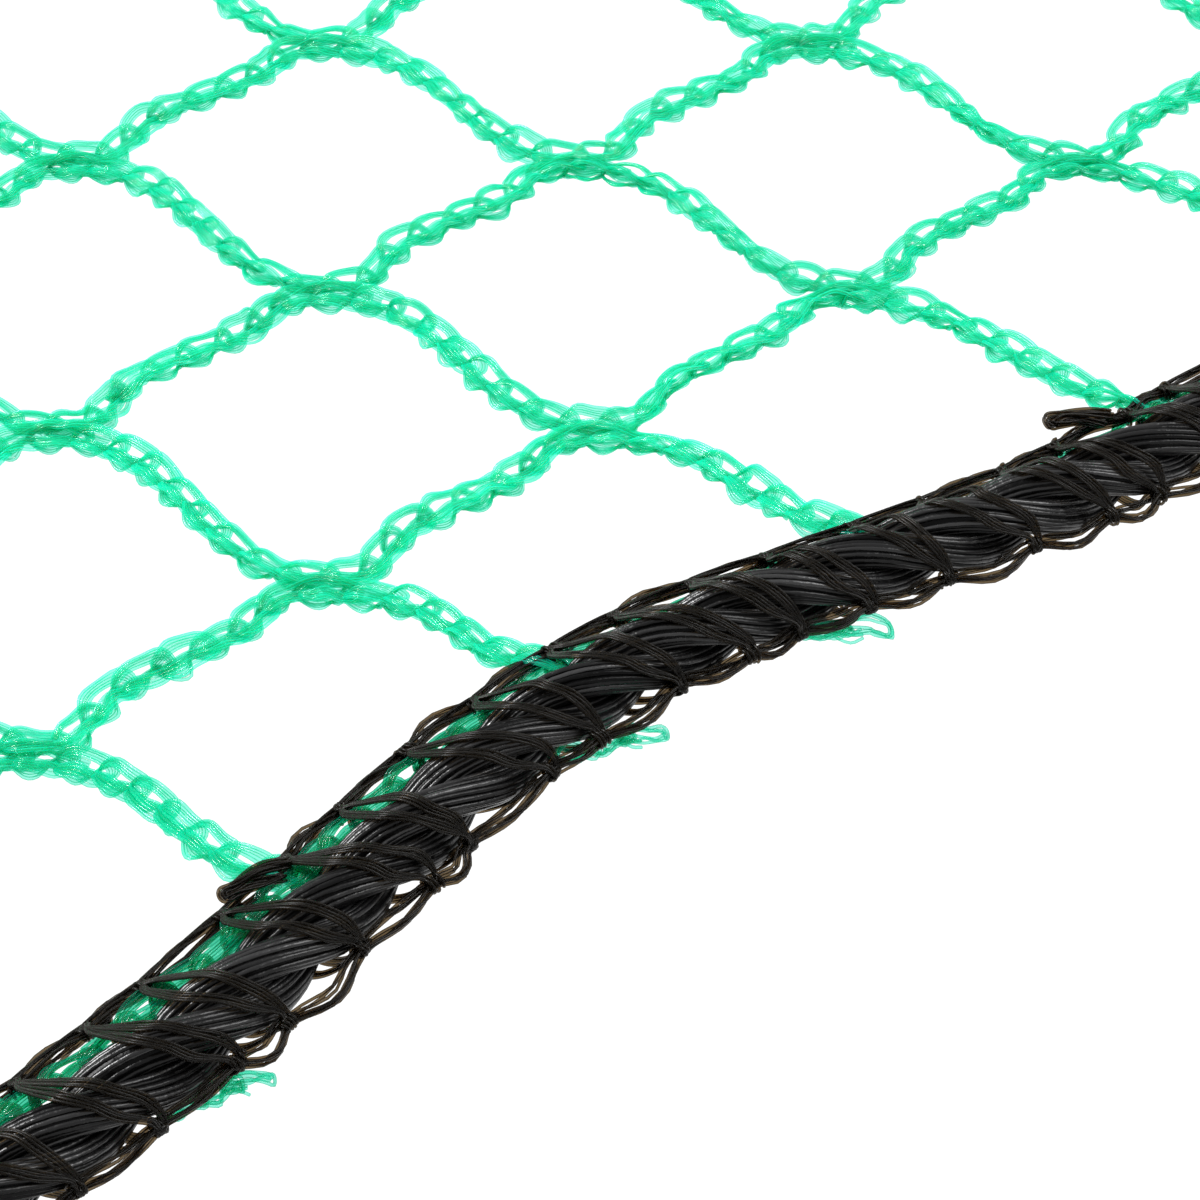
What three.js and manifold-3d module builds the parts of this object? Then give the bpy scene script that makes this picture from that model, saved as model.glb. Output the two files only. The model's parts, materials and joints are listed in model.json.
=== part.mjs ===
// Roped edge of a knotless tennis net: green netting cords, a black three-strand rope and the
// black overlock binding that sews the two together. Millimetres, +Z up, the rope runs along X
// and the netting spreads away from it along +Y. The whole piece rests on the plane z = 0.
import * as THREE from 'three';
import { mergeVertices } from 'three/addons/utils/BufferGeometryUtils.js';
import Module from 'manifold-3d';

// ---- netting -------------------------------------------------------------------------------
const COLUMN_PITCH = 18; // one junction to the next along a row
const ROW_PITCH = 18.5; // one row of junctions to the next, away from the rope
const ROW_LEAN = -4.2; // sideways step of each row, because the netting lies slightly askew
const FIRST_COLUMN_X = -71.4; // first column where it meets the rope
const COLUMNS = 8;
const ROWS = 4;
const CORD_R = 0.7;
const GAP = 0.3; // clearance between neighbouring pieces
const NET_Z = 0.85; // height of the cords' centre lines where they lie flat
const JUNCTION_HALF = 1.9; // half the length over which two cords run side by side
const FOLD_CLEAR = 1.7; // a cord stops this far from the fold line it hangs on
const SWAY = 0.55; // sideways S-bend of a mesh bar
const ARCH = 0.45; // how far a mesh bar lifts between its junctions
const CUT_STUB = 4.5; // length of the cut cord ends round the outside of the piece
const CORD_SIDES = 6; // flat sides of a cord or strand
const WALE_STEPS = 17; // lengths a wale is made of
const SHORT_WALE_STEPS = 10; // and one in the first column, which has no bar along its row
const SELVEDGE_STEPS = 40;

// ---- rope ----------------------------------------------------------------------------------
const ROPE_START_X = -74;
const ROPE_END_X = 62;
const ROPE_Z = 3.05;
const STRAND_R = 0.85;
const STRAND_OFFSET = 1.2; // rope axis to strand axis
const ROPE_LAY = 17; // one full turn of a strand
const STRANDS = 3;
const ROPE_R = STRAND_OFFSET + STRAND_R;
const ROPE_Y = -4.15; // where its straight parts lie; the netting's rows are measured from y = 0
const BOW = 6.6; // the rope bows towards the netting by this much
const BOW_X = -16.5;
const BOW_WIDTH = 23.5;

// ---- binding -------------------------------------------------------------------------------
const THREAD_R = 0.33;
const THREAD_SIDES = 4;
const THREAD_STEPS = 1.7; // lengths a thread is made of for each point of its path
const STITCH = 4.2; // one overlock stitch to the next
const SELVEDGE_V = ROPE_R + GAP + CORD_R; // sideways from the rope axis, + towards the netting
const INNER_TURN_V = 3.75;
const INNER_TURN_Z = CORD_R + GAP + THREAD_R + 0.02;
const INNER_CHAIN_V = INNER_TURN_V + 2 * THREAD_R + GAP;
const OUTER_TURN_V = -2.85;
const OUTER_TURN_Z = 0.5;
const OUTER_CHAIN_V = OUTER_TURN_V - 2 * THREAD_R - GAP;
const OVER_ROPE_Z = ROPE_R + GAP + THREAD_R;
const LOOP_HALF = 0.45; // half the distance between the two legs of one crossing loop
const STITCH_SLANT = 2.2; // how far a crossing loop leans along the rope
const CHAIN_WAVE = 0.25; // sideways zigzag of the two chains
const FIRST_CROSSING = 0.6 * STITCH; // the first crossing loop's distance from the rope's end
const CROWN_V = 0.5; // a crossing loop is highest here, a little towards the netting
const SHOULDER_V = -2.15; // and comes down the rope's far side here
const SHOULDER_Z = 1.75;
const CROWN_LEAN = 0.3; // share of the slant reached at the crown
const SHOULDER_LEAN = 0.7; // and at the shoulder

// ---- loose ends ----------------------------------------------------------------------------
const TAIL_X = [-44, -17, -2.5]; // where cut ends of netting cord stick out beyond the rope
const TAIL_LENGTH = 3;
const TAIL_LEAN = 1.8; // how far the end of a tail is shifted along the rope
const TAIL_START_Z = -0.4; // heights from the rope's axis
const TAIL_END_Z = -0.9;
const SLACK_LOOP_X = [-36, 14]; // where a slack binding loop stands out over the netting
const SLACK_LOOP_HALF = 1.3;
const SLACK_LOOP_FOOT = 0.91; // half the distance between its two feet
const SLACK_LOOP_REACH = 2;
const SLACK_LOOP_WIDEST = 1.2; // how far out it is widest
const SLACK_LOOP_START_Z = 1.2;
const SLACK_LOOP_END_Z = 1.9;

const wasm = await Module();
wasm.setup();

function makeMaterial(color, roughness) {
  return new THREE.MeshStandardMaterial({ color, roughness, metalness: 0 });
}

const materials = {
  net: () => makeMaterial(0x54d6a0, 0.4),
  rope: () => makeMaterial(0x1d1e20, 0.55),
  binding: () => makeMaterial(0x17150f, 0.5),
};

// Sideways position of the rope's axis at x: the rope lies in a gentle curve.
function ropeY(x) {
  return ROPE_Y + BOW * Math.exp(-(((x - BOW_X) / BOW_WIDTH) ** 2));
}

// A point given along the rope (x), sideways from its axis (v) and above its axis (z).
function besideRope(x, v, z) {
  return new THREE.Vector3(x, ropeY(x) + v, ROPE_Z + z);
}

function junction(column, row) {
  const x = FIRST_COLUMN_X + (column - 1) * COLUMN_PITCH + row * ROW_LEAN;
  return new THREE.Vector3(x, row * ROW_PITCH, NET_Z);
}

// ---- sweeps --------------------------------------------------------------------------------
function roundSection(radius, sides) {
  const points = [];
  for (let i = 0; i < sides; i += 1) {
    const angle = (2 * Math.PI * (i + 0.5)) / sides;
    points.push(new THREE.Vector2(radius * Math.cos(angle), radius * Math.sin(angle)));
  }
  return new THREE.Shape(points);
}

function sweep(curve, radius, sides, steps) {
  return new THREE.ExtrudeGeometry(roundSection(radius, sides), {
    steps, bevelEnabled: false, extrudePath: curve,
  });
}

function smooth(points) {
  return new THREE.CatmullRomCurve3(points, false, 'centripetal');
}

// ---- solids joined or cut with manifold ------------------------------------------------------
function toSolid(geometry) {
  const bare = new THREE.BufferGeometry();
  bare.setAttribute('position', geometry.getAttribute('position'));
  if (geometry.index) bare.setIndex(geometry.index);
  const merged = mergeVertices(bare, 1e-4);
  const mesh = new wasm.Mesh({
    numProp: 3,
    vertProperties: new Float32Array(merged.getAttribute('position').array),
    triVerts: new Uint32Array(merged.index.array),
  });
  return new wasm.Manifold(mesh);
}

function toGeometry(solid) {
  const mesh = solid.getMesh();
  const geometry = new THREE.BufferGeometry();
  geometry.setAttribute('position', new THREE.BufferAttribute(mesh.vertProperties, 3));
  geometry.setIndex(new THREE.BufferAttribute(mesh.triVerts, 1));
  geometry.computeVertexNormals();
  return geometry;
}

// ---- rope strands ----------------------------------------------------------------------------
class StrandCurve extends THREE.Curve {
  constructor(phase, startX, endX) {
    super();
    this.phase = phase;
    this.startX = startX;
    this.endX = endX;
  }

  getPoint(t, target = new THREE.Vector3()) {
    const x = this.startX + (this.endX - this.startX) * t;
    const angle = this.phase + (2 * Math.PI * (x - ROPE_START_X)) / ROPE_LAY;
    const slope = Math.atan(ropeY(x + 0.5) - ropeY(x - 0.5));
    const v = STRAND_OFFSET * Math.cos(angle);
    const z = STRAND_OFFSET * Math.sin(angle);
    return target.set(x - v * Math.sin(slope), ropeY(x) + v * Math.cos(slope), ROPE_Z + z);
  }
}

// The strand runs past both ends and is then cut square, as a hot knife cuts a rope.
function makeStrand(index) {
  const overrun = 2;
  const stepsPerTurn = 9;
  const phase = Math.PI / 2 + (2 * Math.PI * index) / STRANDS;
  const curve = new StrandCurve(phase, ROPE_START_X - overrun, ROPE_END_X + overrun);
  const turns = (ROPE_END_X - ROPE_START_X) / ROPE_LAY;
  const strand = toSolid(sweep(curve, STRAND_R, CORD_SIDES, Math.round(turns * stepsPerTurn)));
  const length = ROPE_END_X - ROPE_START_X;
  const clearOfRope = 30;
  const block = new THREE.BoxGeometry(length, clearOfRope, clearOfRope);
  block.translate((ROPE_START_X + ROPE_END_X) / 2, 0, ROPE_Z);
  return toGeometry(strand.intersect(toSolid(block)));
}

// ---- netting cords ---------------------------------------------------------------------------
const alongRow = new THREE.Vector3(1, 0, 0);
const towardsRope = new THREE.Vector3(-ROW_LEAN, -ROW_PITCH, 0).normalize();
const alongWale = alongRow.clone().add(towardsRope).normalize();
const acrossWale = new THREE.Vector3(-alongWale.y, alongWale.x, 0);

// At a junction one cord turns through a peak and the next one through a valley above it.
function beside(column, row, across, along) {
  return junction(column, row)
    .addScaledVector(acrossWale, across)
    .addScaledVector(alongWale, along);
}

const SIDE = CORD_R + GAP / 2;

// Points of one mesh bar between two ends, with its S-bend and its lift.
function barPoints(from, to, count, lift) {
  const points = [];
  const side = new THREE.Vector3().subVectors(to, from);
  const normal = new THREE.Vector3(-side.y, side.x, 0).normalize();
  for (let i = 1; i <= count; i += 1) {
    const t = i / (count + 1);
    const point = new THREE.Vector3().lerpVectors(from, to, t);
    point.addScaledVector(normal, SWAY * Math.sin(2 * Math.PI * t));
    point.z += lift * Math.sin(Math.PI * t);
    points.push(point);
  }
  return points;
}

function peakPoints(column, row) {
  return [
    beside(column, row, -SIDE, -JUNCTION_HALF),
    beside(column, row, -SIDE, JUNCTION_HALF),
  ];
}

// Lower end of a cord: at the rope's edge cord, or just short of the fold line of the next row.
function lowerEnd(column, row) {
  if (row === 1) {
    const x = FIRST_COLUMN_X + (column - 1) * COLUMN_PITCH;
    return besideRope(x, SELVEDGE_V + CORD_R + GAP, 0);
  }
  const end = junction(column, row - 1);
  end.addScaledVector(towardsRope, FOLD_CLEAR / towardsRope.y);
  end.x += GAP;
  return end;
}

// One length of netting cord: along its row, over the peak and down to the row below.
function waleCurve(column, row) {
  const points = [];
  const peak = peakPoints(column, row);
  if (column === 1) {
    points.push(peak[0].clone().addScaledVector(alongRow, -CUT_STUB));
  } else {
    if (row === ROWS) {
      points.push(junction(column - 1, row).addScaledVector(towardsRope, -CUT_STUB));
    }
    const valley = beside(column - 1, row, SIDE, 0);
    points.push(valley, beside(column - 1, row, SIDE, JUNCTION_HALF));
    points.push(...barPoints(points[points.length - 1], peak[0], 3, ARCH));
  }
  points.push(...peak);
  const end = lowerEnd(column, row);
  points.push(...barPoints(peak[1], end, 3, row === 1 ? 0 : ARCH), end);
  return smooth(points);
}

function makeWale(column, row) {
  const steps = column === 1 ? SHORT_WALE_STEPS : WALE_STEPS;
  return sweep(waleCurve(column, row), CORD_R, CORD_SIDES, steps);
}

// ---- edge cord, binding threads and loose ends ---------------------------------------------
function alongRopeCurve(v, z, wave) {
  const points = [];
  const step = STITCH / 2;
  const count = Math.floor((ROPE_END_X - ROPE_START_X) / step);
  for (let i = 0; i <= count; i += 1) {
    points.push(besideRope(ROPE_START_X + i * step, v + wave * (i % 2), z));
  }
  return smooth(points);
}

function makeSelvedge() {
  return sweep(alongRopeCurve(SELVEDGE_V, 0, 0), CORD_R, CORD_SIDES, SELVEDGE_STEPS);
}

function makeChain(v, z, wave) {
  const curve = alongRopeCurve(v, z, wave);
  return sweep(curve, THREAD_R, THREAD_SIDES, Math.round(THREAD_STEPS * curve.points.length));
}

// One thread looping out over the rope and back at every stitch. side is 1 on top, -1 below.
function makeCrossingThread(side) {
  const points = [];
  const count = Math.floor((ROPE_END_X - ROPE_START_X - STITCH) / STITCH);
  const lean = STITCH_SLANT * side;
  for (let i = 0; i < count; i += 1) {
    const x = ROPE_START_X + FIRST_CROSSING + STITCH * i;
    const leg = (shift) => [
      besideRope(x + CROWN_LEAN * lean + shift, CROWN_V, side * OVER_ROPE_Z),
      besideRope(x + SHOULDER_LEAN * lean + shift, SHOULDER_V, side * SHOULDER_Z),
    ];
    points.push(besideRope(x - LOOP_HALF, INNER_TURN_V, side * INNER_TURN_Z));
    points.push(...leg(-LOOP_HALF));
    points.push(besideRope(x + lean, OUTER_TURN_V, side * OUTER_TURN_Z));
    points.push(...leg(LOOP_HALF).reverse());
    points.push(besideRope(x + LOOP_HALF, INNER_TURN_V, side * INNER_TURN_Z));
  }
  return sweep(smooth(points), THREAD_R, THREAD_SIDES, Math.round(THREAD_STEPS * points.length));
}

function makeTail(x) {
  const start = OUTER_CHAIN_V - CHAIN_WAVE - THREAD_R - GAP;
  const points = [
    besideRope(x, start, TAIL_START_Z),
    besideRope(x + TAIL_LEAN / 2, start - TAIL_LENGTH / 2, (TAIL_START_Z + TAIL_END_Z) / 2),
    besideRope(x + TAIL_LEAN, start - TAIL_LENGTH, TAIL_END_Z),
  ];
  return sweep(smooth(points), CORD_R, CORD_SIDES, 5);
}

function makeSlackLoop(x) {
  const start = INNER_CHAIN_V + CHAIN_WAVE + THREAD_R + GAP;
  const middle = start + SLACK_LOOP_WIDEST;
  const middleZ = (SLACK_LOOP_START_Z + SLACK_LOOP_END_Z) / 2;
  const points = [
    besideRope(x - SLACK_LOOP_FOOT, start, SLACK_LOOP_START_Z),
    besideRope(x - SLACK_LOOP_HALF, middle, middleZ),
    besideRope(x, start + SLACK_LOOP_REACH, SLACK_LOOP_END_Z),
    besideRope(x + SLACK_LOOP_HALF, middle, middleZ),
    besideRope(x + SLACK_LOOP_FOOT, start, SLACK_LOOP_START_Z),
  ];
  return sweep(smooth(points), THREAD_R, 5, 12);
}

// ---- assembly --------------------------------------------------------------------------------
const netEdge = new THREE.Group();
netEdge.name = 'net_edge';

function addMesh(parent, name, geometry, material) {
  const mesh = new THREE.Mesh(geometry, material);
  mesh.name = name;
  mesh.position.copy(parent.userData.origin).negate();
  parent.add(mesh);
}

function addGroup(name, origin) {
  const group = new THREE.Group();
  group.name = name;
  group.position.copy(origin);
  group.userData.origin = origin;
  netEdge.add(group);
  return group;
}

const border = addGroup('border', new THREE.Vector3(0, 0, ROPE_Z));
for (let i = 0; i < STRANDS; i += 1) {
  addMesh(border, `rope_strand_${i + 1}`, makeStrand(i), materials.rope());
}
addMesh(border, 'selvedge_cord', makeSelvedge(), materials.net());
const chains = [
  ['inner_chain_thread', INNER_CHAIN_V, INNER_TURN_Z, CHAIN_WAVE],
  ['outer_chain_thread', OUTER_CHAIN_V, 0, -CHAIN_WAVE],
];
chains.forEach(([name, v, z, wave]) => {
  addMesh(border, name, makeChain(v, z, wave), materials.binding());
});
addMesh(border, 'top_looper_thread', makeCrossingThread(1), materials.binding());
addMesh(border, 'bottom_looper_thread', makeCrossingThread(-1), materials.binding());
TAIL_X.forEach((x, i) => {
  addMesh(border, `cord_tail_${i + 1}`, makeTail(x), materials.net());
});
SLACK_LOOP_X.forEach((x, i) => {
  addMesh(border, `slack_loop_${i + 1}`, makeSlackLoop(x), materials.binding());
});

// Every row above the first hangs on the fold line of the row before it.
for (let row = 1; row <= ROWS; row += 1) {
  const fold = new THREE.Vector3(0, (row - 1) * ROW_PITCH, NET_Z);
  const parent = addGroup(`net_row_${row}`, fold);
  for (let column = 1; column <= COLUMNS; column += 1) {
    addMesh(parent, `wale_${row}_${column}`, makeWale(column, row), materials.net());
  }
}

// The origin is the middle of the footprint, on the plane the net rests on.
const bounds = new THREE.Box3().setFromObject(netEdge, true);
const middle = bounds.getCenter(new THREE.Vector3());
netEdge.position.set(-middle.x, -middle.y, -bounds.min.z);
netEdge.updateMatrixWorld(true);

export default netEdge;
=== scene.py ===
"""Looks for the roped edge of a knotless tennis net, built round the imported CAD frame.

Every cord, rope strand and binding thread is made of separate monofilaments, swept as thin tubes along
the paths that knitting, rope laying and overlock sewing give them. Lengths are in millimetres until a
mesh is made.
"""

import json
import math

import bpy
import numpy as np
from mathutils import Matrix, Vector


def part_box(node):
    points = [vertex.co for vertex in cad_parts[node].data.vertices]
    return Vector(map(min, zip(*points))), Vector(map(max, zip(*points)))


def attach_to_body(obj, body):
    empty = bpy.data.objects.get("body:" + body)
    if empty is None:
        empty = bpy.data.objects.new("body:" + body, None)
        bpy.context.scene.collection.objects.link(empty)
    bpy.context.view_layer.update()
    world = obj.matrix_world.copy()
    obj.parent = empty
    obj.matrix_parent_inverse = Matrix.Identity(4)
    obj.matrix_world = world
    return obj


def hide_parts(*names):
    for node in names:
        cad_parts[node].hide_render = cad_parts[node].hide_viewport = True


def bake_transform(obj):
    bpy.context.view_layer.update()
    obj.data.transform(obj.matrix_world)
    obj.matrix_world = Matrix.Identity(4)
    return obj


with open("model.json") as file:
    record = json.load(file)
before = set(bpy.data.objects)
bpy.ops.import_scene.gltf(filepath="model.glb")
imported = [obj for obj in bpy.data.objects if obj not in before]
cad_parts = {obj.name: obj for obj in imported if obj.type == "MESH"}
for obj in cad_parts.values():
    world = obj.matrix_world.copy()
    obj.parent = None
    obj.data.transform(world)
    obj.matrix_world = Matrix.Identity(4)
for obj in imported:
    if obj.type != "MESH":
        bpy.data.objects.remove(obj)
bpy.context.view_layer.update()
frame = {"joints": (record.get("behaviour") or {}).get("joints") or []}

MM = 0.001
SEED = 7

# ---- netting, as in the CAD part ------------------------------------------------------------------
COLUMN_PITCH = 18.0
ROW_PITCH = 18.5
ROW_LEAN = -4.2
FIRST_COLUMN_X = -71.4
COLUMNS = 8
ROWS = 4
NET_Z = 0.85
EDGE_STUB = 0.6  # share of the cut stub's length on the last column
JUNCTION_HALF = 1.9
SWAY = 0.55
ARCH = 0.45
CUT_STUB = 4.5
JUNCTION_SIDE = 0.78  # two cords lie this far either side of a junction, pressed together
LAP_PATH = ((-2.4, -0.75, -0.3), (-1.1, -0.5, 0.1), (0.0, 0.05, 0.3), (1.1, 0.5, 0.1), (2.3, 0.7, -0.3))
LAP_FILAMENTS = 3
LAP_SPACING = 0.18
LAP_PITCH = 1.6

# ---- knitted cord -----------------------------------------------------------------------------------
CORD_PITCH = 2.25
CORD_HALF = 0.92
NET_FILAMENT_R = 0.09
NET_FILAMENTS = 5
FILAMENT_SIDES = 6
NET_SPACING = 0.19

# ---- rope -------------------------------------------------------------------------------------------
ROPE_Z = 3.05
ROPE_LAY = 17.0
STRANDS = 3
STRAND_OFFSET = 1.08
STRAND_R = 0.95
ROPE_FILAMENT_R = 0.155
ROPE_FILAMENTS = 18
ROPE_STEP = 0.75  # length of one step of a strand
FILAMENT_LAY = 0.35  # turns of the filaments within a strand for each turn of the strand
ROPE_Y = -4.15
BOW, BOW_X, BOW_WIDTH = 6.6, -16.5, 23.5
ROPE_START_X, ROPE_END_X = -74.0, 62.0

# ---- binding ----------------------------------------------------------------------------------------
STITCH = 4.3
FIRST_KNOT = 1.0
THREAD_FILAMENT_R = 0.085
THREAD_R = 0.13  # the filaments of a thread lie this far from its middle
THREAD_TWIST = 0.12  # turns in a millimetre
THREAD_FILAMENTS = 3
RIBBON_FILAMENTS = 4  # a crossing thread lies flat on the rope
RIBBON_SPACING = 0.17
SELVEDGE_V = 2.55
INNER_KNOT_V = 3.7
TUCK_X, TUCK_WIDTH = 2.0, 22.0  # here the rope has rolled over the edge cord
SELVEDGE_TUCK, INNER_KNOT_TUCK = 0.5, 1.15
OUTER_KNOT_V = -2.5
CHAIN_HALF = 0.42
CHAIN_STEPS = 8  # samples in half a stitch of a chain's line
STITCH_SLANT = 2.9
TAILS = ((-44.0, 0.7), (-17.0, 1.0), (-2.5, 0.35))  # along the rope, and how far each sticks out
SLACK_LOOP_X = (-36.0, 14.0)

# The frame says where the part's own coordinates start: the first fold line and the rope's cut end.
first_fold = np.array(frame["joints"][0]["pos_m"]) / MM
rope_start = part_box("rope_strand_1")[0].x / MM
SHIFT = np.array([rope_start - ROPE_START_X, first_fold[1] - ROW_PITCH, first_fold[2] - NET_Z])


# ---- curves -----------------------------------------------------------------------------------------
def spline(points, steps):
    """Catmull-Rom curve through points (..., n, k), with steps samples in each span."""
    points = np.asarray(points, float)
    first = 2 * points[..., :1, :] - points[..., 1:2, :]
    last = 2 * points[..., -1:, :] - points[..., -2:-1, :]
    p = np.concatenate([first, points, last], axis=-2)
    a, b, c, d = (p[..., i:p.shape[-2] - 3 + i, None, :] for i in range(4))
    t = (np.arange(steps) / steps)[:, None]
    square, cube = 2 * a - 5 * b + 4 * c - d, 3 * b - a - 3 * c + d
    curve = 0.5 * (2 * b + (c - a) * t + square * t**2 + cube * t**3)
    curve = curve.reshape(points.shape[:-2] + (-1, points.shape[-1]))
    return np.concatenate([curve, points[..., -1:, :]], axis=-2)


def unit(vectors):
    return vectors / np.maximum(np.linalg.norm(vectors, axis=-1, keepdims=True), 1e-9)


class Centreline:
    """A curve that gives each arc length a point and a frame: along, sideways (level) and up."""

    def __init__(self, control, steps=16):
        self.points = spline(control, steps)
        spans = np.linalg.norm(np.diff(self.points, axis=0), axis=1)
        self.s = np.concatenate([[0.0], np.cumsum(spans)])
        self.length = self.s[-1]
        self.tangents = unit(np.gradient(self.points, self.s, axis=0))

    def lookup(self, table, s):
        return np.stack([np.interp(s, self.s, table[:, i]) for i in range(3)], axis=-1)

    def place(self, coordinates):
        """Turns (..., 3) cord coordinates (along, sideways, up) into points."""
        s = coordinates[..., 0]
        along = unit(self.lookup(self.tangents, s))
        side = unit(np.cross([0.0, 0.0, 1.0], along))
        up = np.cross(along, side)
        beyond = (s - np.clip(s, 0, self.length))[..., None]
        point = self.lookup(self.points, s) + along * beyond
        return point + side * coordinates[..., 1:2] + up * coordinates[..., 2:3]

    def nearest(self, point):
        """Arc length of the sample nearest to point."""
        return self.s[np.argmin(np.linalg.norm(self.points - point, axis=1))]


# ---- tubes ------------------------------------------------------------------------------------------
def tube_rings(paths, radius, sides):
    """Rings of sides points round each path: (f, n, 3) gives (f, n, sides, 3)."""
    tangents = unit(np.gradient(paths, axis=1))
    normal = unit(np.cross(tangents[:, 0], [0.31, 0.2, 0.93]))
    normals = [normal]
    for i in range(paths.shape[1] - 1):
        step = paths[:, i + 1] - paths[:, i]
        size = np.maximum((step * step).sum(-1, keepdims=True), 1e-12)
        normal = normal - 2 / size * (step * normal).sum(-1, keepdims=True) * step
        carried = tangents[:, i] - 2 / size * (step * tangents[:, i]).sum(-1, keepdims=True) * step
        turn = tangents[:, i + 1] - carried
        size = np.maximum((turn * turn).sum(-1, keepdims=True), 1e-12)
        normal = unit(normal - 2 / size * (turn * normal).sum(-1, keepdims=True) * turn)
        normals.append(normal)
    normals = np.stack(normals, axis=1)
    binormals = np.cross(tangents, normals)
    angle = 2 * np.pi * np.arange(sides) / sides
    radius = np.broadcast_to(np.asarray(radius, float), paths.shape[:2])[..., None, None]
    round_part = (normals[:, :, None] * np.cos(angle)[:, None]
                  + binormals[:, :, None] * np.sin(angle)[:, None])
    return paths[:, :, None] + radius * round_part


def cut_end(rings, forward):
    """A slightly domed, closed tip on the first (forward False) or last ring of each tube."""
    edge = rings[:, -1] if forward else rings[:, 0]
    inner = rings[:, -2] if forward else rings[:, 1]
    centre = edge.mean(axis=1, keepdims=True)
    radius = np.linalg.norm(edge - centre, axis=-1).mean(axis=1)[:, None, None]
    away = unit(centre - inner.mean(axis=1, keepdims=True)) * radius
    dome = centre + (edge - centre) * 0.7 + away * 0.35
    tip = centre + (edge - centre) * 0.02 + away * 0.5
    if forward:
        return np.concatenate([rings, dome[:, None], tip[:, None]], axis=1)
    return np.concatenate([tip[:, None], dome[:, None], rings], axis=1)


def cut_both(rings):
    return cut_end(cut_end(rings, False), True)


class TubeMesh:
    """Collects tubes and turns them into one Blender object."""

    def __init__(self, name):
        self.name = name
        self.points, self.quads, self.tones = [], [], []
        self.count = 0

    def add(self, rings, tones):
        tubes, length, sides, _ = rings.shape
        index = self.count + np.arange(tubes * length * sides).reshape(tubes, length, sides)
        near, far = index[:, :-1], index[:, 1:]
        quads = np.stack([near, np.roll(near, -1, 2), np.roll(far, -1, 2), far], axis=-1)
        self.points.append(rings.reshape(-1, 3))
        self.quads.append(quads.reshape(-1, 4))
        self.tones.append(np.repeat(tones, length * sides))
        self.count += tubes * length * sides

    def build(self, material):
        points = (np.concatenate(self.points) + SHIFT) * MM
        quads = np.concatenate(self.quads)
        mesh = bpy.data.meshes.new(self.name)
        mesh.vertices.add(len(points))
        mesh.vertices.foreach_set("co", points.astype(np.float32).ravel())
        mesh.loops.add(quads.size)
        mesh.loops.foreach_set("vertex_index", quads.astype(np.int32).ravel())
        mesh.polygons.add(len(quads))
        mesh.polygons.foreach_set("loop_start", np.arange(0, quads.size, 4, dtype=np.int32))
        mesh.polygons.foreach_set("use_smooth", np.ones(len(quads), dtype=bool))
        mesh.update(calc_edges=True)
        tone = mesh.attributes.new("tone", "FLOAT", "POINT")
        tone.data.foreach_set("value", np.concatenate(self.tones).astype(np.float32))
        mesh.materials.append(material)
        piece = bpy.data.objects.new(self.name, mesh)
        bpy.context.scene.collection.objects.link(piece)
        return piece


# ---- knitting ---------------------------------------------------------------------------------------
# One pillar stitch: along / pitch, sideways / half width, up / half width, then how a filament that
# lies one spacing outwards in the bundle is moved: along, sideways, up. The first leg is a wide ribbon
# on one side and the second a tighter one that arches out on the other.
PILLAR_STITCH = np.array([
    (-0.04, -0.05, -0.40, 0.0, -0.30, -0.3),
    (0.12, -0.30, 0.05, 0.0, -0.55, 0.2),
    (0.38, -0.48, 0.30, 0.0, -0.90, 0.1),
    (0.72, -0.54, 0.34, 0.0, -0.90, 0.0),
    (1.10, -0.52, 0.10, 0.1, -0.80, 0.0),
    (1.34, -0.30, -0.10, 0.5, -0.50, 0.0),
    (1.43, 0.14, -0.12, 0.5, 0.40, 0.0),
    (1.28, 0.60, 0.00, 0.2, 0.70, 0.0),
    (0.86, 0.70, 0.22, 0.0, 0.60, 0.0),
    (0.41, 0.66, 0.30, 0.0, 0.60, 0.0),
    (0.13, 0.40, 0.05, 0.0, 0.50, 0.2),
    (-0.02, 0.06, -0.40, 0.0, 0.30, -0.3),
    (0.33, -0.38, -0.55, 0.0, 0.75, 0.0),
    (0.66, -0.42, -0.55, 0.0, 0.75, 0.0),
])
# The binding's chain stitch: a long open loop whose return lies under one leg, so light shows through.
CHAIN_STITCH = np.array([
    (-0.05, -0.10, -0.30, 0, 0, 0),
    (0.08, -0.35, 0.10, 0, 0, 0),
    (0.40, -0.60, 0.20, 0, 0, 0),
    (0.80, -0.50, 0.15, 0, 0, 0),
    (1.06, -0.15, -0.05, 0, 0, 0),
    (1.06, 0.20, -0.05, 0, 0, 0),
    (0.80, 0.62, 0.10, 0, 0, 0),
    (0.40, 0.75, 0.15, 0, 0, 0),
    (0.08, 0.35, 0.10, 0, 0, 0),
    (-0.02, -0.05, -0.30, 0, 0, 0),
    (0.35, -0.50, -0.30, 0, 0, 0),
    (0.70, -0.50, -0.30, 0, 0, 0),
])
STITCH_STEPS = 3  # samples between two points of a stitch
PILLAR_STEPS = len(PILLAR_STITCH) * STITCH_STEPS
INLAY_STEPS = 3  # samples in half a stitch of the laid-in yarn
# How much stitches differ: in width, in the place of each point, in their start and in their spread.
WIDTH_VARIES, POINT_VARIES, START_VARIES, SPREAD_VARIES = 0.12, 0.05, 0.03, 0.15


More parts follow.
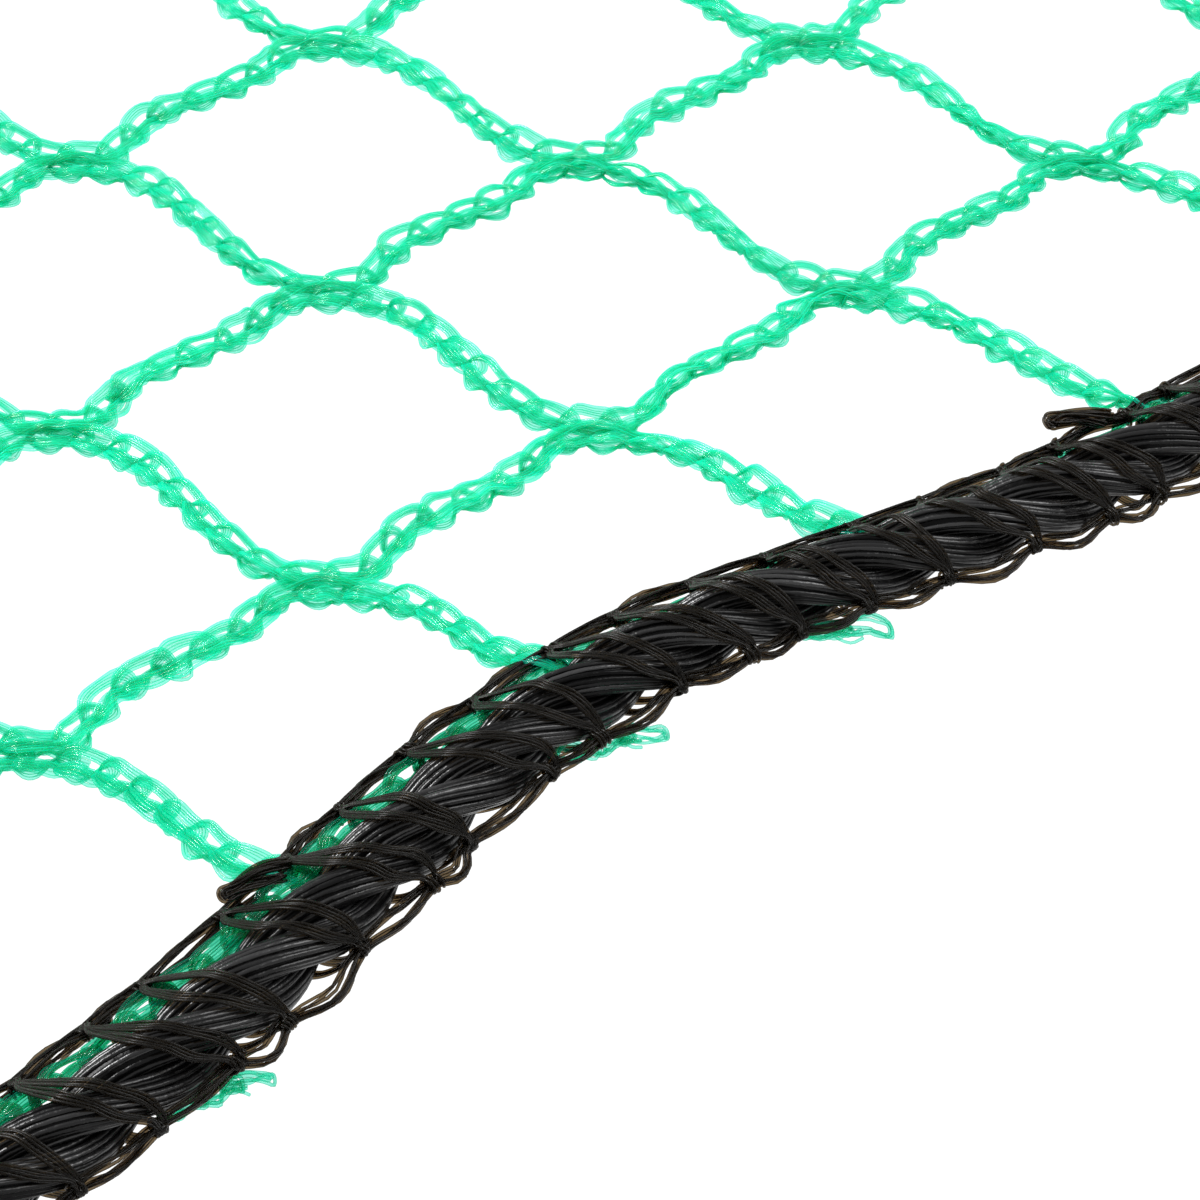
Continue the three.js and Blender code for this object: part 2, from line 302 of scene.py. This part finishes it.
def knit(centre, stations, half_width, filaments, spacing, rng,
         stitch=PILLAR_STITCH, roll=0.3, slack=0.02):
    """Filament paths of a chain of stitches that start at the given arc lengths.

    roll is how much the chain rolls from stitch to stitch, and slack how untidy its filaments are.
    """
    count = len(stations) - 1
    shape = np.broadcast_to(stitch, (filaments, count) + stitch.shape).copy()
    shape[..., 1:3] *= 1 + rng.normal(0, WIDTH_VARIES, (1, count, 1, 1))
    shape[..., 1:3] += rng.normal(0, POINT_VARIES, (1, count, len(stitch), 2))
    shape[..., 1:3] += rng.normal(0, slack, shape[..., 1:3].shape)
    shape[..., 0] += rng.normal(0, START_VARIES, (1, count, 1))
    number = shape[..., 0] + np.arange(count)[None, :, None]
    inside = np.interp(number, np.arange(len(stations)), stations)
    beyond = stations[-1] + (number - count) * (stations[-1] - stations[-2])
    along = np.where(number > count, beyond, inside)
    fan = 1 + rng.normal(0, SPREAD_VARIES, (1, count, 1))
    offset = ((np.arange(filaments) - (filaments - 1) / 2) * spacing)[:, None, None] * fan
    along = along + shape[..., 3] * offset
    side = shape[..., 1] * half_width + shape[..., 4] * offset
    up = shape[..., 2] * half_width + shape[..., 5] * offset
    turn = roll * np.interp(along, stations, rng.normal(0, 1, len(stations)))
    cord = np.stack([along,
                     side * np.cos(turn) - up * np.sin(turn),
                     side * np.sin(turn) + up * np.cos(turn)], axis=-1)
    cord = cord.reshape(filaments, -1, 3)
    return centre.place(spline(cord, STITCH_STEPS))


def lay_in(centre, stations, half_width, filaments, spacing, rng):
    """The straight yarn inside the stitches: drawn together in each knot and spread between them."""
    places = np.interp(np.arange(0, len(stations) - 0.5, 0.5), np.arange(len(stations)), stations)
    count = len(places)
    at_knot = np.arange(count) % 2 == 0
    swing = np.where(at_knot, 0.0, -0.36) * half_width + rng.normal(0, 0.06, count)
    fan = np.where(at_knot, 0.45, 0.7)
    offset = ((np.arange(filaments) - (filaments - 1) / 2) * spacing)[:, None]
    along = np.broadcast_to(places, (filaments, count))
    side = swing + offset * fan + rng.normal(0, 0.02, (filaments, count))
    up = -0.15 * half_width + rng.normal(0, 0.04, count) + rng.normal(0, 0.02, (filaments, count))
    return centre.place(spline(np.stack([along, side, up], axis=-1), INLAY_STEPS))


def thread_paths(path, filaments, rng):
    """The filaments of a soft twisted thread that follows path (n, 3)."""
    ring = tube_rings(path[None], 1.0, 4)[0]
    normal = ring[:, 0] - path
    binormal = ring[:, 1] - path
    s = np.concatenate([[0.0], np.cumsum(np.linalg.norm(np.diff(path, axis=0), axis=1))])
    knots = np.linspace(0, s[-1], max(3, int(s[-1] / 3)))
    paths = []
    for i in range(filaments):
        drift = np.interp(s, knots, rng.normal(0, 0.35, len(knots)))
        spread = THREAD_R * (1 + np.interp(s, knots, rng.normal(0, 0.3, len(knots))))[:, None]
        angle = (2 * np.pi * (i / filaments + THREAD_TWIST * s) + drift)[:, None]
        paths.append(path + spread * (normal * np.cos(angle) + binormal * np.sin(angle)))
    return np.stack(paths)


def stations_for(length, pitch):
    return np.linspace(0, length, max(2, round(length / pitch)) + 1)


# ---- netting ----------------------------------------------------------------------------------------
along_row = np.array([1.0, 0.0, 0.0])
towards_rope = unit(np.array([-ROW_LEAN, -ROW_PITCH, 0.0]))
along_wale = unit(along_row + towards_rope)
across_wale = np.array([-along_wale[1], along_wale[0], 0.0])


def rope_y(x):
    return ROPE_Y + BOW * np.exp(-(((x - BOW_X) / BOW_WIDTH) ** 2))


def tuck(x):
    """How far the rope has rolled over the edge cord: 0 not at all, 1 fully."""
    return np.exp(-(((x - TUCK_X) / TUCK_WIDTH) ** 2))


def junction(column, row):
    x = FIRST_COLUMN_X + (column - 1) * COLUMN_PITCH + row * ROW_LEAN
    return np.array([x, row * ROW_PITCH, NET_Z])


def beside(column, row, across, along):
    return junction(column, row) + across_wale * across + along_wale * along


def bar_points(start, end, lift):
    """Inner points of one mesh bar, with its S-bend and its lift."""
    side = end - start
    normal = unit(np.array([-side[1], side[0], 0.0]))
    points = []
    for t in (0.25, 0.5, 0.75):
        point = start + side * t + normal * SWAY * math.sin(2 * math.pi * t)
        point[2] += lift * math.sin(math.pi * t)
        points.append(point)
    return points


def wale_segments(wale):
    """(row, column) of the lengths that one continuous cord passes through, from the top down."""
    pairs = [(row, wale - row) for row in range(ROWS, 0, -1)]
    return [(row, column) for row, column in pairs if 1 <= column <= COLUMNS + 1
            and not (row == ROWS and column == COLUMNS + 1)]


def wale_centreline(segments):
    """The cord's centreline and the points halfway down its bars, where pieces meet."""
    points, halves = [], []
    for number, (row, column) in enumerate(segments):
        left = [beside(column, row, -JUNCTION_SIDE, -JUNCTION_HALF)]
        if column == 1:
            points.append(left[0] - along_row * CUT_STUB)
        else:
            valley = [beside(column - 1, row, JUNCTION_SIDE, step)
                      for step in (-JUNCTION_HALF, JUNCTION_HALF)]
            if number == 0:
                points.append(valley[0] - towards_rope * CUT_STUB)
            else:
                bar = bar_points(points[-1], valley[0], ARCH)
                halves.append(bar[1])
                points += bar
            points += valley
            if column == COLUMNS + 1:
                points.append(valley[1] + along_row * CUT_STUB * EDGE_STUB)
                return Centreline(points), halves
            points += bar_points(points[-1], left[0], ARCH)
        points += left + [beside(column, row, -JUNCTION_SIDE, JUNCTION_HALF)]
    row, column = segments[-1]
    x = FIRST_COLUMN_X + (column - 1) * COLUMN_PITCH
    end = np.array([x, rope_y(x) + SELVEDGE_V - SELVEDGE_TUCK * tuck(x) + 0.3, ROPE_Z - 0.1])
    points += bar_points(points[-1], end, 0.0) + [end]
    return Centreline(points), halves


def add_cord(meshes, bounds, paths, per_station, rng):
    """Sweeps the filaments of a cord and shares their rings out between the meshes at the bounds."""
    rings = tube_rings(paths, NET_FILAMENT_R, FILAMENT_SIDES)
    tones = rng.uniform(0, 1, len(paths))
    for i, mesh in enumerate(meshes):
        part = rings[:, bounds[i] * per_station:bounds[i + 1] * per_station + 1]
        if i == 0:
            part = cut_end(part, False)
        if i == len(meshes) - 1:
            part = cut_end(part, True)
        mesh.add(part, tones)


def make_netting(material, rng):
    """One mesh per netting cord length, keyed by (row, column)."""
    meshes = {}
    for wale in range(2, ROWS + COLUMNS + 1):
        segments = wale_segments(wale)
        centre, halves = wale_centreline(segments)
        stations = stations_for(centre.length, CORD_PITCH)
        bounds = [0]
        for half in halves:
            bounds.append(int(np.argmin(np.abs(stations - centre.nearest(half)))))
        bounds.append(len(stations) - 1)
        pieces = []
        for row, column in segments:
            meshes[row, column] = TubeMesh(f"netting_{row}_{column}")
            pieces.append(meshes[row, column])
        loops = knit(centre, stations, CORD_HALF, NET_FILAMENTS, NET_SPACING, rng)
        add_cord(pieces, bounds, loops, PILLAR_STEPS, rng)
        inlay = lay_in(centre, stations, CORD_HALF, NET_FILAMENTS, NET_SPACING, rng)
        add_cord(pieces, bounds, inlay, 2 * INLAY_STEPS, rng)
    add_junction_laps(meshes, rng)
    pieces = {}
    for key, mesh in meshes.items():
        pieces[key] = mesh.build(material)
    return pieces


def lap_paths(column, row, sign, shift, rng):
    """Filaments that cross a junction from one cord to the other."""
    control = np.array([(along + shift, across * sign, up) for along, across, up in LAP_PATH])[None]
    control = control + rng.normal(0, 0.03, (LAP_FILAMENTS,) + control.shape[1:])
    spread = ((np.arange(LAP_FILAMENTS) - 1) * LAP_SPACING)[:, None]
    control[..., 0] += spread * 0.5
    control[..., 1] += spread * 0.9
    path = (junction(column, row) + control[..., 0:1] * along_wale + control[..., 1:2] * across_wale
            + control[..., 2:3] * np.array([0, 0, 1.0]))
    return spline(path, 5)


def add_junction_laps(meshes, rng):
    """Where two cords run side by side, yarn passes from one to the other and holds them together."""
    for row in range(1, ROWS + 1):
        for column in range(1, COLUMNS + 1):
            if (row, column) not in meshes:
                continue
            for sign, place in ((1, -0.5), (-1, 0.5)):
                paths = lap_paths(column, row, sign, place * LAP_PITCH, rng)
                rings = cut_both(tube_rings(paths, NET_FILAMENT_R, FILAMENT_SIDES))
                meshes[row, column].add(rings, rng.uniform(0, 1, LAP_FILAMENTS))


# ---- rope -------------------------------------------------------------------------------------------
def rope_centreline():
    x = np.arange(ROPE_START_X, ROPE_END_X + 0.01, 4.0)
    return Centreline(np.stack([x, rope_y(x), np.full_like(x, ROPE_Z)], axis=-1), 8)


def make_strand(rope, number, material, rng):
    """One strand: a dark core and a loose skin of filaments laid round it."""
    s = np.linspace(0, rope.length, int(rope.length / ROPE_STEP))
    turn = math.pi / 2 + 2 * math.pi * number / STRANDS + 2 * math.pi * s / ROPE_LAY
    centre = np.stack([s, STRAND_OFFSET * np.cos(turn), STRAND_OFFSET * np.sin(turn)], axis=-1)
    mesh = TubeMesh(f"rope_lay_{number + 1}")
    core = rope.place(centre)[None]
    mesh.add(cut_both(tube_rings(core, STRAND_R - ROPE_FILAMENT_R, 10)), np.zeros(1))
    skin = []
    for i in range(ROPE_FILAMENTS):
        wander = np.interp(s, np.linspace(0, rope.length, 24), rng.normal(0, 0.1, 24))
        lift = np.interp(s, np.linspace(0, rope.length, 30), rng.normal(0, 0.035, 30))
        angle = 2 * math.pi * i / ROPE_FILAMENTS + turn * FILAMENT_LAY + wander
        radius = STRAND_R - ROPE_FILAMENT_R + lift
        offset = np.stack([np.zeros_like(s), radius * np.cos(angle), radius * np.sin(angle)], axis=-1)
        skin.append(rope.place(centre + offset))
    rings = tube_rings(np.stack(skin), ROPE_FILAMENT_R, FILAMENT_SIDES)
    mesh.add(cut_both(rings), rng.uniform(0, 1, ROPE_FILAMENTS))
    return mesh.build(material)


# ---- binding ----------------------------------------------------------------------------------------
def knot_stations(rope, rng):
    """Arc lengths of the knots along the rope: hand-fed sewing, so the stitches vary."""
    count = int((rope.length - 2 * FIRST_KNOT) / STITCH)
    return FIRST_KNOT + STITCH * (np.arange(count + 1) + rng.normal(0, 0.1, count + 1))


def chain_line(rope, knots, knot_v, sign, rng):
    """The line a chain of stitches follows: drawn in at its knots, with a little slack between them."""
    control = []
    for i, (a, b) in enumerate(zip(knots[:-1], knots[1:])):
        slack = rng.uniform(0.05, 0.35) + 0.5 * rng.uniform() ** 4
        between = 0.5 * (knot_v[i] + knot_v[i + 1]) + sign * slack
        control.append((a, knot_v[i], 0.0))
        control.append((0.5 * (a + b), between, rng.normal(-0.15, 0.12)))
    control.append((knots[-1], knot_v[-1], 0.0))
    return Centreline(rope.place(np.array(control)), CHAIN_STEPS)


def make_chain(name, rope, knots, knot_v, sign, material, rng):
    """A chain of slack open loops, with the crossing threads wrapped round it at every knot."""
    centre = chain_line(rope, knots, knot_v, sign, rng)
    stations = centre.s[::2 * CHAIN_STEPS][:len(knots)]
    mesh = TubeMesh(name)
    path = knit(centre, stations, CHAIN_HALF, 1, 0.0, rng, stitch=CHAIN_STITCH, roll=0.5)[0]
    add_thread(mesh, path, rng)
    for station in stations:
        add_thread(mesh, knot_wrap(centre, station, rng), rng)
    return mesh.build(material)


def add_thread(mesh, path, rng):
    rings = tube_rings(thread_paths(path, THREAD_FILAMENTS, rng), THREAD_FILAMENT_R, FILAMENT_SIDES)
    mesh.add(cut_both(rings), rng.uniform(0, 1, THREAD_FILAMENTS))


def knot_wrap(centre, station, rng):
    """A turn and a half of thread drawn tight round the chain."""
    t = np.linspace(0, 1, 24)
    angle = 2 * np.pi * 1.5 * t + rng.uniform(0, 6)
    radius = rng.uniform(0.24, 0.36) + 0.05 * np.sin(7 * t)
    along = station + rng.uniform(0.4, 0.8) * (t - 0.5)
    return centre.place(np.stack([along, radius * np.cos(angle), radius * np.sin(angle)], axis=-1))


def crossing_control(inner, outer, inner_v, side, rng):
    """One crossing loop, from its inner knot over the rope to the outer chain and back.

    Each point is (along, sideways, up, how far its filaments spread).
    """
    over = STRAND_OFFSET + STRAND_R + THREAD_FILAMENT_R
    points = []
    split, outer_split = rng.uniform(0.6, 1.5), rng.uniform(0.1, 0.6)
    if rng.uniform() < 0.35:
        split, outer_split = outer_split, split * 0.8
    for leg in (0, 1):
        way = 2 * leg - 1
        half = [(inner + way * 0.15 * split, inner_v + 0.3, 0.2, 0.3),
                (inner + way * 0.45 * split, inner_v - 0.6, 0.7, 0.6)]
        for degrees, t in ((62, 0.17), (88, 0.33), (114, 0.53), (142, 0.77)):
            angle = math.radians(degrees)
            along = inner + (outer - inner) * t + way * (split * (1 - t) + outer_split * t)
            along += rng.normal(0, 0.06)
            half.append((along, over * math.cos(angle), over * math.sin(angle), 1.0))
        half.append((outer + way * outer_split * 0.4, OUTER_KNOT_V + 0.2, 0.5, 0.5))
        half.append((outer + way * 0.15, OUTER_KNOT_V - 0.25, -way * 0.15, 0.3))
        points += half if leg == 0 else half[::-1]
    control = np.array(points)
    control[:, 2] *= side
    return control


def make_crossings(name, rope, inner, outer, inner_v, side, material, rng):
    control = [crossing_control(a, b, v, side, rng) for a, b, v in zip(inner, outer, inner_v)]
    control = np.concatenate(control)
    ribbon = np.arange(RIBBON_FILAMENTS)[:, None] - (RIBBON_FILAMENTS - 1) / 2
    filaments = np.repeat(control[None, :, :3], RIBBON_FILAMENTS, axis=0)
    filaments[..., 0] += ribbon * RIBBON_SPACING * control[:, 3]
    filaments += rng.normal(0, 0.02, filaments.shape)
    mesh = TubeMesh(name)
    rings = tube_rings(rope.place(spline(filaments, 5)), THREAD_FILAMENT_R, FILAMENT_SIDES)
    mesh.add(cut_both(rings), rng.uniform(0, 1, RIBBON_FILAMENTS))
    return mesh.build(material)


def make_selvedge(rope, material, rng):
    s = np.arange(0.5, rope.length, 3.0)
    tucked = tuck(ROPE_START_X + s)
    v = SELVEDGE_V - SELVEDGE_TUCK * tucked + 0.15 * np.sin(s * 0.9)
    centre = Centreline(rope.place(np.stack([s, v, 0.1 - 0.9 * tucked], axis=-1)), 8)
    stations = stations_for(centre.length, CORD_PITCH)
    mesh = TubeMesh("selvedge_knit")
    loops = knit(centre, stations, CORD_HALF * 0.75, NET_FILAMENTS, NET_SPACING, rng, slack=0.06)
    add_cord([mesh], [0, len(stations) - 1], loops, PILLAR_STEPS, rng)
    return mesh.build(material)


def make_tail(rope, number, x, reach, material, rng):
    """The cut end of a netting cord that comes out under the rope, with its last stitches undone."""
    s = rope.nearest(np.array([x, float(rope_y(x)), ROPE_Z]))
    control = np.array([(s - 3.4, -0.9, -1.8), (s - 1.8, -1.7, -1.7), (s, -2.3, -1.6),
                        (s + 1.2 * reach, -2.3 - 0.7 * reach, -1.7)])
    centre = Centreline(rope.place(control), 12)
    stations = stations_for(centre.length, CORD_PITCH * 0.8)
    mesh = TubeMesh(f"tail_knit_{number}")
    loops = knit(centre, stations, CORD_HALF * 0.5, NET_FILAMENTS - 2, NET_SPACING, rng, slack=0.25)
    add_cord([mesh], [0, len(stations) - 1], loops, PILLAR_STEPS, rng)
    return mesh.build(material)


def make_slack_loop(rope, number, x, material, rng):
    """A slack tongue of binding thread that lies out over the netting."""
    s = rope.nearest(np.array([x, float(rope_y(x)), ROPE_Z]))
    mesh = TubeMesh(f"slack_thread_{number}")
    for turn in range(3):
        reach, width = 0.2 * turn, 0.14 * turn
        control = np.array([(s + 1.4, 2.9 + width, 0.7), (s + 0.2, 3.4 + width, 1.0),
                            (s - 1.1 - reach, 3.8 + width, 1.1), (s - 1.8 - reach, 3.8 + width, 1.1),
                            (s - 1.9 - reach, 3.7, 1.0), (s - 1.1 - reach, 3.6, 0.9),
                            (s - 0.4, 3.3, 0.8), (s + 0.8, 2.8, 0.6)])
        add_thread(mesh, rope.place(spline(control + rng.normal(0, 0.07, control.shape), 6)), rng)
    return mesh.build(material)


# ---- materials --------------------------------------------------------------------------------------
def new_material(name):
    material = bpy.data.materials.new(name)
    material.use_nodes = True
    nodes = material.node_tree.nodes
    nodes.clear()
    return material, nodes, material.node_tree.links.new


def tone_mix(nodes, link, low, high):
    """A colour between low and high by the filament's own tone."""
    tone = nodes.new("ShaderNodeAttribute")
    tone.attribute_name = "tone"
    mix = nodes.new("ShaderNodeMix")
    mix.data_type = "RGBA"
    mix.inputs["A"].default_value = low + (1,)
    mix.inputs["B"].default_value = high + (1,)
    link(tone.outputs["Fac"], mix.inputs["Factor"])
    return mix.outputs["Result"]


def noise(nodes, link, scale):
    where = nodes.new("ShaderNodeTexCoord")
    texture = nodes.new("ShaderNodeTexNoise")
    texture.inputs["Scale"].default_value = scale
    texture.inputs["Detail"].default_value = 3.0
    link(where.outputs["Object"], texture.inputs["Vector"])
    return texture.outputs["Fac"]


def ranged(nodes, link, value, low, high):
    change = nodes.new("ShaderNodeMapRange")
    change.inputs["To Min"].default_value = low
    change.inputs["To Max"].default_value = high
    link(value, change.inputs["Value"])
    return change.outputs["Result"]


def bumped(nodes, link, value, strength, distance):
    bump = nodes.new("ShaderNodeBump")
    bump.inputs["Strength"].default_value = strength
    bump.inputs["Distance"].default_value = distance
    link(value, bump.inputs["Height"])
    return bump.outputs["Normal"]


def netting_material(name, low, high, clear_tint):
    """Translucent green monofilament: clear mint in one layer, deeper green where layers overlap."""
    material, nodes, link = new_material(name)
    colour = tone_mix(nodes, link, low, high)
    body = nodes.new("ShaderNodeBsdfPrincipled")
    body.inputs["Specular IOR Level"].default_value = 0.25
    link(colour, body.inputs["Base Color"])
    link(ranged(nodes, link, noise(nodes, link, 900), 0.25, 0.45), body.inputs["Roughness"])
    link(bumped(nodes, link, noise(nodes, link, 3500), 0.15, 0.0001), body.inputs["Normal"])
    glow = nodes.new("ShaderNodeBsdfTranslucent")
    link(colour, glow.inputs["Color"])
    solid = nodes.new("ShaderNodeMixShader")
    solid.inputs["Fac"].default_value = 0.55
    link(body.outputs[0], solid.inputs[1])
    link(glow.outputs[0], solid.inputs[2])
    clear = nodes.new("ShaderNodeBsdfTransparent")
    clear.inputs["Color"].default_value = clear_tint + (1,)
    edge = nodes.new("ShaderNodeLayerWeight")
    edge.inputs["Blend"].default_value = 0.3
    amount = ranged(nodes, link, edge.outputs["Facing"], 0.1, 0.95)
    mix = nodes.new("ShaderNodeMixShader")
    link(amount, mix.inputs["Fac"])
    link(clear.outputs[0], mix.inputs[1])
    link(solid.outputs[0], mix.inputs[2])
    gloss = nodes.new("ShaderNodeBsdfGlossy")
    gloss.inputs["Roughness"].default_value = 0.12
    glint = nodes.new("ShaderNodeMixShader")
    glint.inputs["Fac"].default_value = 0.015
    link(mix.outputs[0], glint.inputs[1])
    link(gloss.outputs[0], glint.inputs[2])
    out = nodes.new("ShaderNodeOutputMaterial")
    link(glint.outputs[0], out.inputs["Surface"])
    return material


def rope_material():
    """Black polyethylene filament with a soft grey sheen and small crimp marks."""
    material, nodes, link = new_material("rope_monofilament")
    body = nodes.new("ShaderNodeBsdfPrincipled")
    colour = tone_mix(nodes, link, (0.001, 0.001, 0.0011), (0.0075, 0.0075, 0.0079))
    link(colour, body.inputs["Base Color"])
    sheen = nodes.new("ShaderNodeAttribute")
    sheen.attribute_name = "tone"
    link(ranged(nodes, link, sheen.outputs["Fac"], 0.08, 0.62), body.inputs["Specular IOR Level"])
    link(ranged(nodes, link, noise(nodes, link, 700), 0.2, 0.36), body.inputs["Roughness"])
    link(bumped(nodes, link, noise(nodes, link, 1500), 0.4, 0.0002), body.inputs["Normal"])
    out = nodes.new("ShaderNodeOutputMaterial")
    link(body.outputs[0], out.inputs["Surface"])
    return material


def binding_material():
    """Nearly black thread that lets a little brown light through; its base colour is also painted brown
    towards the grazing edges, as painted light for the glow through its thin edges.
    """
    material, nodes, link = new_material("binding_thread")
    edge = nodes.new("ShaderNodeLayerWeight")
    edge.inputs["Blend"].default_value = 0.5
    # Painted light: the base colour turns brown towards the grazing edges, standing in for light that
    # shines through the thin edges.
    colour = nodes.new("ShaderNodeMix")
    colour.data_type = "RGBA"
    link(edge.outputs["Facing"], colour.inputs["Factor"])
    link(tone_mix(nodes, link, (0.001, 0.001, 0.0009), (0.004, 0.0037, 0.0032)), colour.inputs["A"])
    colour.inputs["B"].default_value = (0.009, 0.007, 0.004, 1)
    body = nodes.new("ShaderNodeBsdfPrincipled")
    link(colour.outputs["Result"], body.inputs["Base Color"])
    body.inputs["Specular IOR Level"].default_value = 0.24
    link(ranged(nodes, link, noise(nodes, link, 800), 0.25, 0.4), body.inputs["Roughness"])
    link(bumped(nodes, link, noise(nodes, link, 2600), 0.25, 0.0001), body.inputs["Normal"])
    clear = nodes.new("ShaderNodeBsdfTransparent")
    clear.inputs["Color"].default_value = (0.60, 0.50, 0.36, 1)
    amount = ranged(nodes, link, edge.outputs["Facing"], 0.36, 1.0)
    mix = nodes.new("ShaderNodeMixShader")
    link(amount, mix.inputs["Fac"])
    link(clear.outputs[0], mix.inputs[1])
    link(body.outputs[0], mix.inputs[2])
    out = nodes.new("ShaderNodeOutputMaterial")
    link(mix.outputs[0], out.inputs["Surface"])
    return material


# ---- stage ------------------------------------------------------------------------------------------
FLOOR_Z = -0.065  # metres: a row of netting that folds down hangs clear of the table
CAMERA_AZIMUTH, CAMERA_ELEVATION = -39.8, 45  # degrees
CAMERA_AIM = (-11.7, 8.5, 1.0)  # a point of the netting, in the part's own millimetres
CAMERA_DISTANCE = 0.1764  # metres
CAMERA_LENS = 105
WORLD_STRENGTH = 0.8  # what lights the net; the camera itself sees plain white round the table


def make_floor():
    """A pale table that glows a little, as a light table does under a product."""
    size = 3.0
    mesh = bpy.data.meshes.new("floor")
    corners = [(-size, -size, 0), (size, -size, 0), (size, size, 0), (-size, size, 0)]
    mesh.from_pydata(corners, [], [(0, 1, 2, 3)])
    material, nodes, link = new_material("floor_white")
    diffuse = nodes.new("ShaderNodeBsdfDiffuse")
    diffuse.inputs["Color"].default_value = (0.9, 0.9, 0.9, 1)
    glow = nodes.new("ShaderNodeEmission")
    glow.inputs["Strength"].default_value = 1.0
    mix = nodes.new("ShaderNodeMixShader")
    mix.inputs["Fac"].default_value = 0.9
    link(diffuse.outputs[0], mix.inputs[1])
    link(glow.outputs[0], mix.inputs[2])
    out = nodes.new("ShaderNodeOutputMaterial")
    link(mix.outputs[0], out.inputs["Surface"])
    mesh.materials.append(material)
    floor = bpy.data.objects.new("floor", mesh)
    floor.location.z = FLOOR_Z
    bpy.context.scene.collection.objects.link(floor)


def add_softbox(name, location, size, energy, target):
    light = bpy.data.lights.new(name, "AREA")
    light.shape = "SQUARE"
    light.size = size
    light.energy = energy
    lamp = bpy.data.objects.new(name, light)
    lamp.location = location
    lamp.rotation_euler = (target - lamp.location).to_track_quat("-Z", "Y").to_euler()
    bpy.context.scene.collection.objects.link(lamp)


def light_scene(target):
    world = bpy.data.worlds.new("studio")
    world.use_nodes = True
    nodes, link = world.node_tree.nodes, world.node_tree.links.new
    ray = nodes.new("ShaderNodeLightPath")
    glow = ranged(nodes, link, ray.outputs["Is Camera Ray"], WORLD_STRENGTH, 1.0)
    nodes["Background"].inputs["Color"].default_value = (1, 1, 1, 1)
    link(glow, nodes["Background"].inputs["Strength"])
    bpy.context.scene.world = world
    add_softbox("key", target + Vector((-0.25, 0.35, 0.5)), 0.25, 9.0, target)
    add_softbox("fill", target + Vector((0.4, -0.2, 0.45)), 0.4, 3.0, target)


def place_camera():
    """The camera looks along the rope's start from its outer side, at about 45 degrees."""
    azimuth, elevation = math.radians(CAMERA_AZIMUTH), math.radians(CAMERA_ELEVATION)
    aim = Vector(CAMERA_AIM) + Vector(SHIFT)
    back = Vector((math.sin(azimuth) * math.cos(elevation), -math.cos(azimuth) * math.cos(elevation),
                   math.sin(elevation)))
    camera_data = bpy.data.cameras.new("camera")
    camera_data.sensor_width = 36
    camera_data.lens = CAMERA_LENS
    camera_data.clip_start = 0.01
    camera = bpy.data.objects.new("camera", camera_data)
    camera.location = aim * MM + back * CAMERA_DISTANCE
    camera.rotation_euler = (-back).to_track_quat("-Z", "Y").to_euler()
    bpy.context.scene.collection.objects.link(camera)
    bpy.context.scene.camera = camera
    return aim * MM


# ---- assembly ---------------------------------------------------------------------------------------
def attach(piece, body, slot, *nodes):
    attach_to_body(piece, body)
    if nodes:
        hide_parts(*nodes)


def body_of_row(row):
    return "border" if row == 1 else f"net_row_{row}"


def attach_netting(pieces):
    """Hides the CAD wale each cord length stands for; lengths of the last row ride that row's body, the
    others are baked in place and ride no body.
    """
    for (row, column), piece in pieces.items():
        if column <= COLUMNS:
            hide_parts(f"wale_{row}_{column}")
        if row == ROWS:
            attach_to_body(piece, body_of_row(row))
            continue
        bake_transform(piece)


def build_binding(rope, material, rng):
    """The two chains of stitches, and the crossing threads that join them over and under the rope."""
    inner = knot_stations(rope, rng)
    outer = np.minimum(inner + STITCH_SLANT + rng.normal(0, 0.45, len(inner)), rope.length)
    lower = np.minimum(inner + 0.8 + rng.normal(0, 0.35, len(inner)), rope.length)
    inner_v = INNER_KNOT_V - INNER_KNOT_TUCK * tuck(ROPE_START_X + inner)
    inner_v = inner_v + rng.uniform(-0.15, 0.15, len(inner))
    outer_v = OUTER_KNOT_V + rng.uniform(-0.15, 0.25, len(outer))
    chain = make_chain("inner_chain", rope, inner, inner_v, 1, material, rng)
    attach(chain, "border", "binding", "inner_chain_thread")
    chain = make_chain("outer_chain", rope, outer, outer_v, -1, material, rng)
    attach(chain, "border", "binding", "outer_chain_thread")
    top = make_crossings("top_looper", rope, inner, outer, inner_v, 1, material, rng)
    attach(top, "border", "binding", "top_looper_thread")
    bottom = make_crossings("bottom_looper", rope, lower, outer, inner_v, -1, material, rng)
    attach(bottom, "border", "binding", "bottom_looper_thread")


def build():
    rng = np.random.default_rng(SEED)
    netting = netting_material("netting_monofilament", low=(0.0, 0.50, 0.31), high=(0.008, 0.74, 0.53),
                               clear_tint=(0.60, 0.99, 0.90))
    # Painted shade: the edge cord gets a darker copy of the netting material, with deeper colours and a
    # deeper clear tint, for the shade that the rope and binding cast on it.
    painted_shade_netting = netting_material("edge_cord_painted_shade", low=(0.0, 0.16, 0.09), high=(0.0, 0.36, 0.22),
                              clear_tint=(0.30, 0.86, 0.68))
    black, thread = rope_material(), binding_material()
    attach_netting(make_netting(netting, rng))
    rope = rope_centreline()
    for i in range(STRANDS):
        attach(make_strand(rope, i, black, rng), "border", "rope", f"rope_strand_{i + 1}")
    attach(make_selvedge(rope, painted_shade_netting, rng), "border", "netting", "selvedge_cord")
    build_binding(rope, thread, rng)
    for i, (x, reach) in enumerate(TAILS, start=1):
        attach(make_tail(rope, i, x, reach, netting, rng), "border", "netting", f"cord_tail_{i}")
    for i, x in enumerate(SLACK_LOOP_X, start=1):
        attach(make_slack_loop(rope, i, x, thread, rng), "border", "binding", f"slack_loop_{i}")


build()
make_floor()
light_scene(place_camera())
bpy.context.scene.view_settings.view_transform = "Standard"
bpy.context.scene.cycles.transparent_max_bounces = 24
